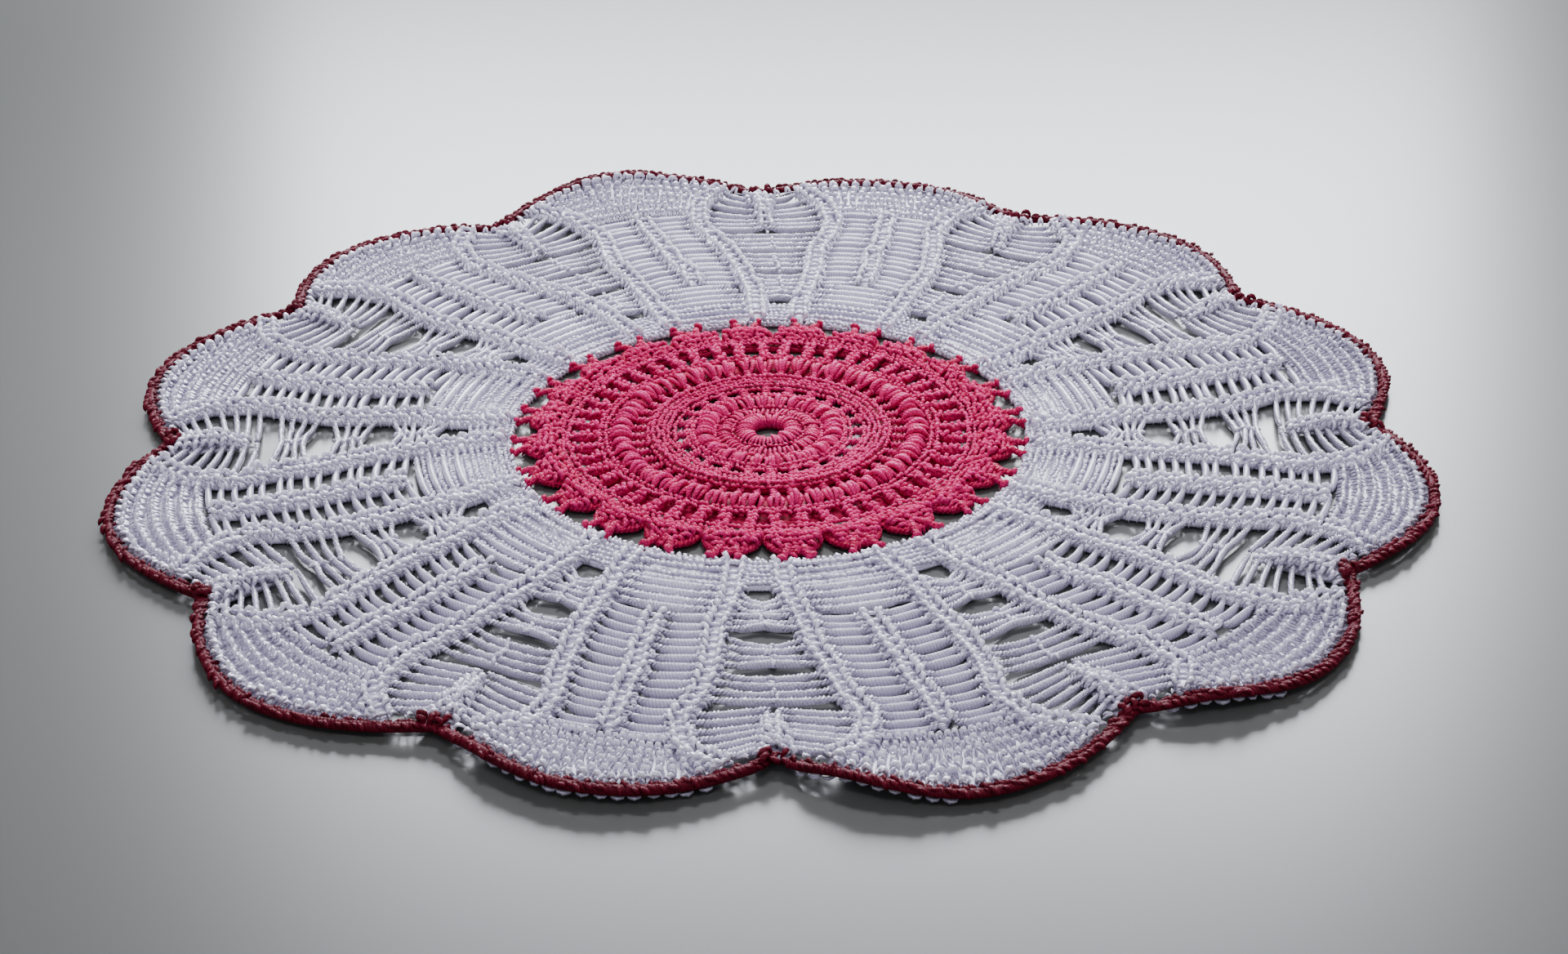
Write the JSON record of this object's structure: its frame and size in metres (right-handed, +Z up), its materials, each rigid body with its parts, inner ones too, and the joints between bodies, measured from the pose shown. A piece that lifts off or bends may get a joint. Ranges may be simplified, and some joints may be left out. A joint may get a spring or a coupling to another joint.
{
  "type": "crocheted table mat",
  "caption": "Round crocheted table mat with a pink medallion, a white openwork body of ribbed petals and a dark red scalloped edging.",
  "frame": {"origin": "on the table, under the middle of the outline", "axes": "+Z up, -Y towards the viewer of the picture, +X to the viewer's right"},
  "size_m": [0.3102, 0.3132, 0.0067],
  "materials": {
    "pink_thread": "satin twisted thread",
    "white_thread": "satin twisted thread",
    "dark_red_thread": "satin twisted thread"
  },
  "bodies": {
    "root": {"medallion": "pink_thread", "body": "white_thread", "edging": "dark_red_thread"}
  },
  "joints": []
}
